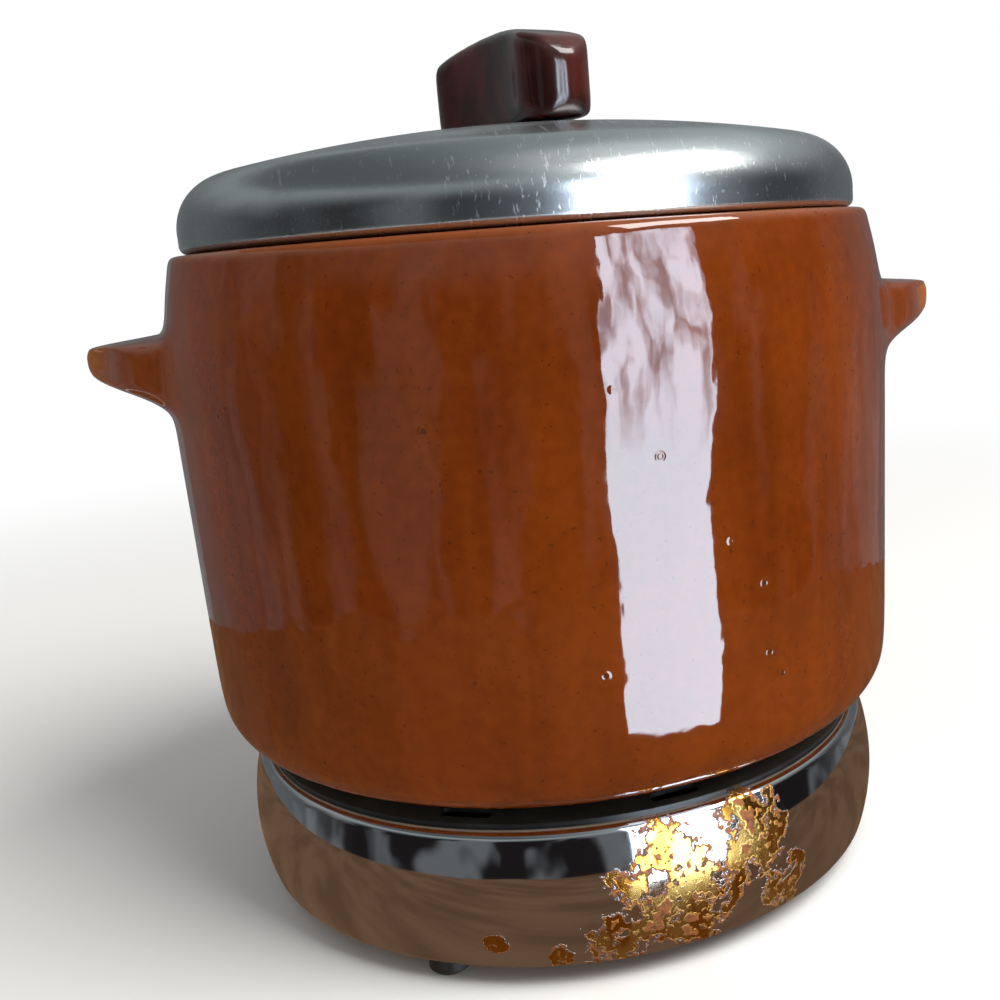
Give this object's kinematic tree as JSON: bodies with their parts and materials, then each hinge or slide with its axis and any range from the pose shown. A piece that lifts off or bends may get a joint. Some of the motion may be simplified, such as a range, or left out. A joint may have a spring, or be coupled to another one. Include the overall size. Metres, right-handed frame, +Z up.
{
  "type": "electric bean pot",
  "caption": "Glazed stoneware bean pot with side lugs and a domed metal lid with a bar knob, standing on a low chromed electric heating base.",
  "frame": {"origin": "on the floor, under the middle of the base", "axes": "+Z up along the pot's axis; the lugs lie along X; the inlet for the lead faces +Y, so -Y is the front"},
  "size_m": [0.22, 0.18, 0.2104],
  "materials": {
    "stoneware": "glossy brown glaze on stoneware",
    "lid_metal": "worn satin polish",
    "knob_plastic": "glossy moulded phenolic",
    "chrome": "mirror chrome with burnt brown stains",
    "black_enamel": "black stoving enamel",
    "plate_iron": "heat-darkened steel",
    "mica": "mica board",
    "ribbon": "oxidised resistance ribbon",
    "steel": "plated steel",
    "shield_metal": "bright sheet",
    "cover_steel": "plain zinc-plated sheet",
    "brass": "turned brass",
    "porcelain": "glazed porcelain",
    "wire_cover": "heat-proof woven cover",
    "pin_nickel": "nickel-plated pins",
    "foot_plastic": "black moulded feet"
  },
  "bodies": {
    "base": {"base_shell": "chrome", "deck_ring": "black_enamel", "hot_plate": "plate_iron", "upper_mica": "mica", "element_ribbon": "ribbon", "element_former": "mica", "lower_mica": "mica", "pressure_plate": "steel", "tie_stud": "steel", "clamp_washer": "steel", "clamp_nut": "steel", "upper_spacer": "steel", "heat_shield": "shield_metal", "lower_spacer": "steel", "bottom_cover": "cover_steel", "tie_washer": "steel", "tie_nut": "steel", "terminal_posts": "brass", "terminal_bushings": "porcelain", "terminal_nuts": "brass", "lead_wires": "wire_cover", "inlet_block": "porcelain", "inlet_pins": "pin_nickel", "inlet_nuts": "steel", "inlet_guard": "black_enamel", "inlet_screws": "steel", "block_screws": "steel", "feet": "foot_plastic", "foot_screws": "steel", "foot_nuts": "steel"},
    "pot": {"crock": "stoneware"},
    "lid": {"lid_shell": "lid_metal", "lid_knob": "knob_plastic", "knob_insert": "brass", "knob_washer": "steel", "knob_screw": "steel"}
  },
  "joints": [
    {"name": "pot_lift", "type": "slide", "parent": "base", "child": "pot", "axis": [0, 0, 1], "range_m": [0, 0.1]},
    {"name": "lid_lift", "type": "slide", "parent": "pot", "child": "lid", "axis": [0, 0, 1], "range_m": [0, 0.1]}
  ]
}
